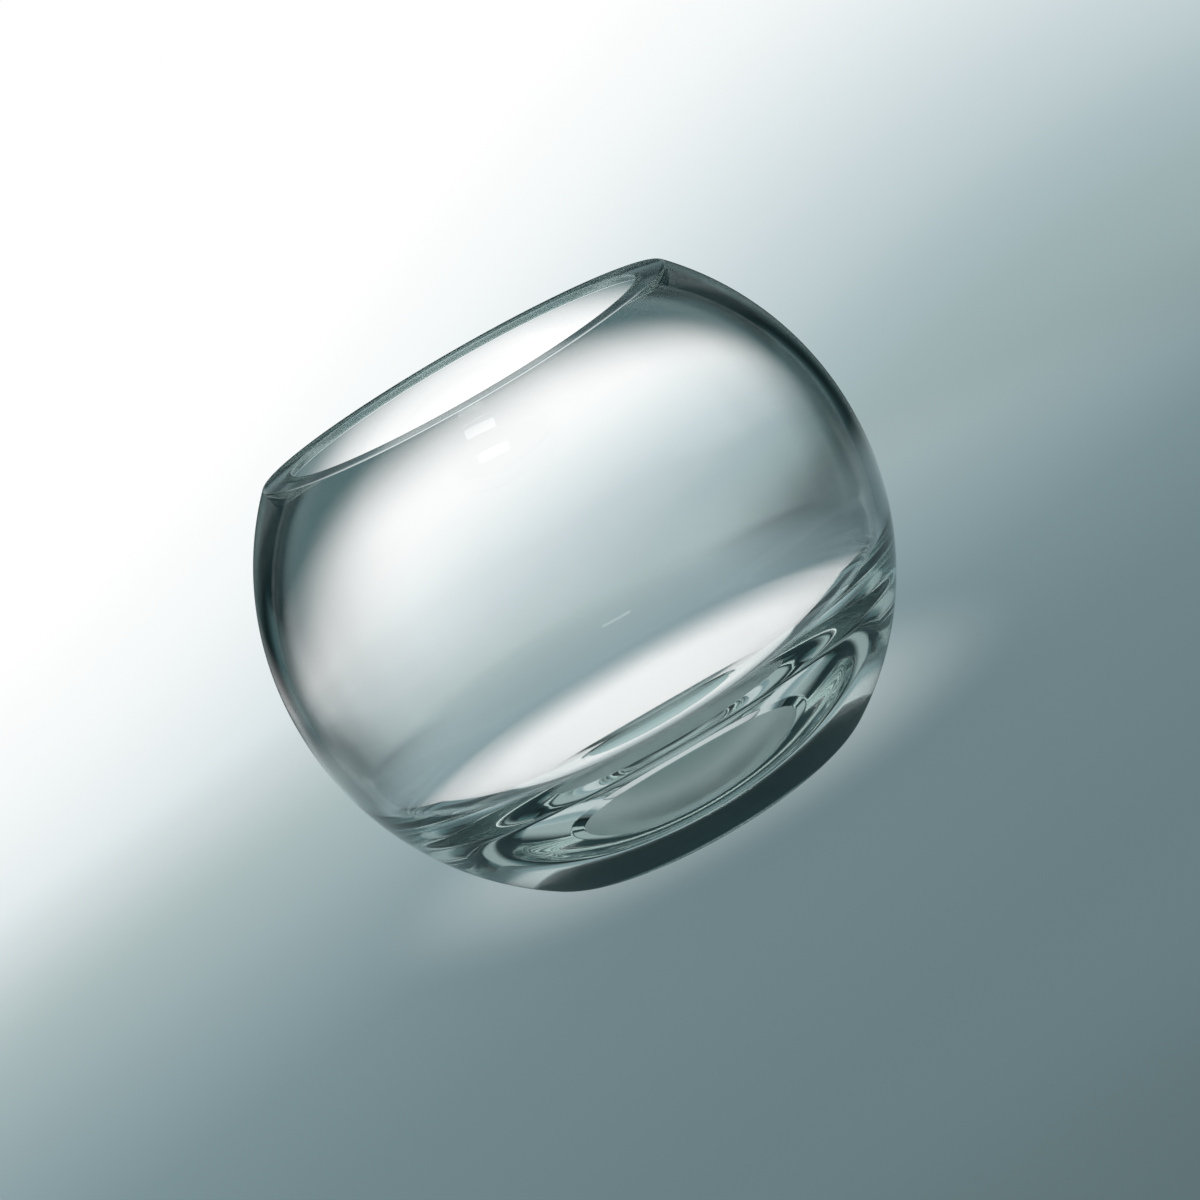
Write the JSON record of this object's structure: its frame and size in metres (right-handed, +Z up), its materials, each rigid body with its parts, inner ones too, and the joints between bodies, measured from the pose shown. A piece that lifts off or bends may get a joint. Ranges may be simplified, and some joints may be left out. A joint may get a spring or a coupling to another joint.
{
  "type": "rose bowl vase",
  "caption": "Clear glass rose bowl: a nearly spherical flower vase with a wide cut rim, a thick wall and a heavy solid base with a ground recess under it.",
  "frame": {"origin": "on the vase's axis, in the plane that it stands on", "axes": "+Z up along the axis of the bowl towards its mouth; X and Y are any two level directions, because the vase is turned"},
  "size_m": [0.2, 0.2, 0.1568],
  "materials": {
    "clear_glass": "fire-polished clear soda-lime glass with a faint grey-green tint, flat polished rim, fine-ground recess"
  },
  "bodies": {
    "root": {"bowl": "clear_glass", "base": "clear_glass"}
  },
  "joints": []
}
